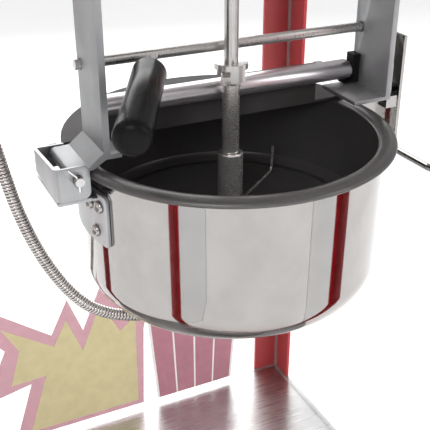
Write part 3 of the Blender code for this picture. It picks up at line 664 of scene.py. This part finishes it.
def strap():
    """Strap curved to the shell, with the flange that carries the clevis."""
    wall, high = SHELL_R + GAP, CLEVIS_LOW - GAP
    first, last = 180 - STRAP_HALF, 180 + STRAP_HALF
    band = arc((0, 0), wall + STRAP_SHEET, first, last, 24)
    band += arc((0, 0), wall, last, first, 24)
    flange = box(CLEVIS_LEFT + 1, -wall - 1, CLEVIS_FRONT + 1, CLEVIS_BACK - 1,
                 high - STRAP_SHEET, high)
    edge = wall * math.sin(math.radians(STRAP_HALF)) + 0.9
    corners = [rounded_off(-edge, high, 7.0, 1, 1), rounded_off(-edge, STRAP_FOOT, 3.0, 1, -1),
               rounded_off(edge, STRAP_FOOT, 3.0, -1, -1)]
    piece("strap", prism(band, "Z", STRAP_FOOT, high), "aluminium", "kettle", ["hinge_strap"],
          bevel=0.4, joins=[flange], cuts=corners)


def split_pin():
    eye = PIN + Vector((0, CLEVIS_FRONT - 2.9, 0))
    legs = [(-7, -1.2, 9.5), (-1.5, -0.4, 3.5), (0, 0, -1), (0, 0, -7)]
    path = rounded([eye + Vector(v) for v in legs], 2)
    piece("pin_clip", wire(path, 1.5, 12), "chrome", "cabinet", ["split_pin"])


clevis()
rivets()
strap()
split_pin()


def grip():
    """Smooth black grip with a softly domed end."""
    ahead = (GRIP_NECK - GRIP_END).normalized()
    long = (GRIP_NECK - GRIP_END).length
    dome = [(0, 0), (4, 0.15), (7.2, 0.7), (9.7, 1.8), (11.3, 3.4), (12, 5.6), (12, 9.0)]
    profile = [*dome, (11.3, long * 0.5), (11.5, long - 1), (10.7, long), (3.4, long), (3.4, 14)]
    piece("grip", lathe([*profile, (0, 14)], GRIP_END, 72, ahead), "black_plastic", "lever",
          ["lever_grip"], sharp=50)


grip()


# Print on the rear glass: a plain starburst and a striped tub, with no lettering
def ink(name, colour):
    """Faded ink, thin enough for the light behind it to show through."""
    m = Material(name, Alpha=0.62)
    tone = m.noise(90.0, 4.0)
    m.use("Base Color", m.ramp(tone, colour, tuple(min(1.0, c * 1.12) for c in colour)))
    m.use("Roughness", m.ramp(m.noise(500.0), 0.30, 0.45))
    m.made.surface_render_method = "BLENDED"
    return m.bump(m.noise(800.0), 0.02, 0.0002).made


LOOK["ink_red"] = ink("ink_red", (0.60, 0.24, 0.31))
LOOK["ink_yellow"] = ink("ink_yellow", (0.86, 0.80, 0.46))
LOOK["ink_white"] = ink("ink_white", (0.88, 0.86, 0.84))


# Outline of the starburst and of its pale middle, along X and Z on the rear glass
STAR = (
    (-196, -217), (-149.6, -232.5), (-102.5, -269.4), (-83.5, -232), (-69.6, -272.7),
    (-47, -222), (-26, -262), (8, -236), (-4, -290), (-8, -389), (-150, -389), (-128, -322),
    (-176, -332), (-150, -274),
)
STAR_MIDDLE = (
    (-151.4, -247.9), (-101.1, -283.7), (-86.4, -255.7), (-71.5, -297.9), (-50, -247),
    (-30, -286), (-12, -270), (-13.4, -303), (-14, -383), (-134, -383), (-112, -316),
    (-148, -318), (-136, -278),
)
TUB = (0.0, 109.0, -280.0)  # left and right of its mouth, and the mouth's height
TUB_TAPER = 9.0  # how far each side leans in at the foot
INK = 0.12  # thickness of each printed shape


def print_shape(name, outline, step, colour):
    """Thin shape in front of the rear glass, by a step of its own so that none fight."""
    face = BACK - POST_SHEET - GAP - GLASS - step
    shape = prism(outline, "Y", face, face + INK)
    piece(f"print_{name}", shape, f"ink_{colour}", "cabinet", (), "white_panel")


def tub_side(share):
    """Mouth and foot of the tub, at one share of its width."""
    left, right, _ = TUB
    x = left + (right - left) * share
    return x, x + TUB_TAPER * (1 - 2 * share)


def glass_print():
    print_shape("star_red", STAR, 0.30, "red")
    print_shape("star_yellow", STAR_MIDDLE, 0.55, "yellow")
    foot, mouth = FLOOR + 6, TUB[2]
    bands = [("white", 0.0, 1.0, 0.42)]
    bands += [("red", 0.03 + 0.24 * i, 0.25 + 0.24 * i, 0.58) for i in range(4)]
    for number, (colour, start, end, step) in enumerate(bands):
        (a, a_foot), (b, b_foot) = tub_side(start), tub_side(end)
        outline = [(a_foot, foot), (b_foot, foot), (b, mouth), (a, mouth)]
        print_shape(f"tub_{number}", outline, step, colour)


glass_print()


# Panes: clear faces, and edges that show as they do on real sheet
def pane(name, node, sheet, looks, body, across, **options):
    """One clear sheet. Faces that do not look along its thickness take the edge's material."""
    made = piece(name, sheet, looks[0], body, [node], bevel=0.5, **options)
    made.data.materials.append(LOOK[looks[1]])
    for face in made.data.polygons:
        if abs(face.normal.dot(across)) < 0.9:
            face.material_index = 1


def fixed_panes():
    edge, looks = POST_SHEET + GAP, ("clear_glass", "glass_edge")
    low, high, back = FLOOR + GAP, CEILING - GAP, BACK - edge
    rear = box(LEFT + edge, RIGHT - edge, back - GLASS, back, low, high)
    pane("rear_pane", "rear_glass", rear, looks, "cabinet", Vector((0, 1, 0)))
    for side, x in (("left", LEFT + edge), ("right", RIGHT - edge - GLASS)):
        sheet = box(x, x + GLASS, FRONT + edge, back - GLASS - GAP, low, high)
        pane(f"{side}_pane", f"{side}_glass", sheet, looks, "cabinet", Vector((1, 0, 0)))


def doors():
    """Acrylic doors, standing open on their hinge rods."""
    low, high = FLOOR + 4, CEILING - 4
    for side, x, inward in (("left", LEFT + 6, 1), ("right", RIGHT - 6, -1)):
        axis = Vector((x, FRONT - DOOR_SETBACK, 0))
        swing = Matrix.Rotation(math.radians(-DOOR_OPEN * inward), 3, "Z")
        edges = sorted((x - 3 * inward, MIDDLE - 0.75 * inward))
        sheet = box(*edges, FRONT - 6, FRONT - 2, low, high)
        knuckles = [cylinder(axis, DOOR_HINGE_R, z, z + DOOR_HINGE_TALL)
                    for z in (low + 30, -85, high - 30 - DOOR_HINGE_TALL)]
        bore = cylinder(axis, DOOR_HINGE_BORE, low - 5, high + 5)
        for shape in (sheet, *knuckles, bore):
            bmesh.ops.rotate(shape, cent=axis, matrix=swing, verts=shape.verts)
        pane(f"{side}_door", f"door_{side}", sheet, ("clear_acrylic", "acrylic_edge"),
             f"door_{side}", swing @ Vector((0, 1, 0)), joins=knuckles, cuts=[bore])


fixed_panes()
doors()


# CAD nodes whose shapes are right keep them, and get the material of their slot
def dress():
    # rear_lid takes the dark material whose colour is painted reflection of the canopy ceiling
    special = {"floor_plate": "floor_steel", "crumb_drawer": "floor_steel",
               "rear_lid": "lid_painted_reflection"}
    slots = {row["node"]: row["material_slot"] for row in frame["record"]["subparts"]}
    for name, node in frame["nodes"].items():
        if node.hide_render:
            continue
        look = special.get(name, slots[name])
        node.data.materials.clear()
        node.data.materials.append(LOOK[look])


dress()


# Floor and light, in metres
FLOOR_R, FLOOR_GLOW = 9.0, 0.38
SKY_SEEN, SKY_LIGHT = 1.0, 0.46
LAMPS = (  # name, place, where it points, size, power in watts
    ("key", (-1.5, -1.6, 2.1), (0.0, 0.1, 0.45), 1.6, 36.0),
    ("fill", (1.9, -1.1, 1.5), (0.0, 0.1, 0.45), 1.4, 22.0),
    ("top", (0.0, 0.3, 2.5), (0.0, 0.1, 0.4), 1.8, 13.0),
    ("back", (0.3, 1.7, 1.3), (0.0, 0.1, 0.5), 1.5, 24.0),
)


def floor():
    """Wide pale floor, open on every side so that no view is blocked."""
    shape = bmesh.new()
    rim = [shape.verts.new((FLOOR_R * math.cos(t), FLOOR_R * math.sin(t), 0.0))
           for t in [math.tau * i / 96 for i in range(96)]]
    shape.faces.new(rim)
    mesh = bpy.data.meshes.new("floor")
    shape.to_mesh(mesh)
    shape.free()
    ground = bpy.data.objects.new("floor", mesh)
    bpy.context.scene.collection.objects.link(ground)
    paper = Material("floor_paper", Roughness=0.9, Emission_Color=(1.0, 1.0, 1.0, 1.0),
                     Emission_Strength=FLOOR_GLOW)
    paper.use("Base Color", paper.ramp(paper.noise(3.0), (0.90, 0.90, 0.90), (0.93, 0.93, 0.93)))
    ground.data.materials.append(paper.made)


def lights():
    for name, place, aim, size, power in LAMPS:
        data = bpy.data.lights.new(name, "AREA")
        data.size, data.energy = size, power
        lamp = bpy.data.objects.new(name, data)
        lamp.location = place
        lamp.rotation_euler = (Vector(aim) - Vector(place)).to_track_quat("-Z", "Y").to_euler()
        bpy.context.scene.collection.objects.link(lamp)


def sky():
    """White studio. The camera sees it brighter than the light it gives."""
    made = bpy.data.worlds.new("studio")
    made.use_nodes = True
    tree = made.node_tree
    light, seen = tree.nodes["Background"], tree.nodes.new("ShaderNodeBackground")
    for background, strength in ((light, SKY_LIGHT), (seen, SKY_SEEN)):
        background.inputs["Color"].default_value = (1.0, 1.0, 1.0, 1.0)
        background.inputs["Strength"].default_value = strength
    path = tree.nodes.new("ShaderNodeLightPath")
    mix = tree.nodes.new("ShaderNodeMixShader")
    tree.links.new(path.outputs["Is Camera Ray"], mix.inputs[0])
    tree.links.new(light.outputs[0], mix.inputs[1])
    tree.links.new(seen.outputs[0], mix.inputs[2])
    tree.links.new(mix.outputs[0], tree.nodes["World Output"].inputs["Surface"])
    bpy.context.scene.world = made


floor()
lights()
sky()
bpy.context.scene.view_settings.view_transform = "Standard"
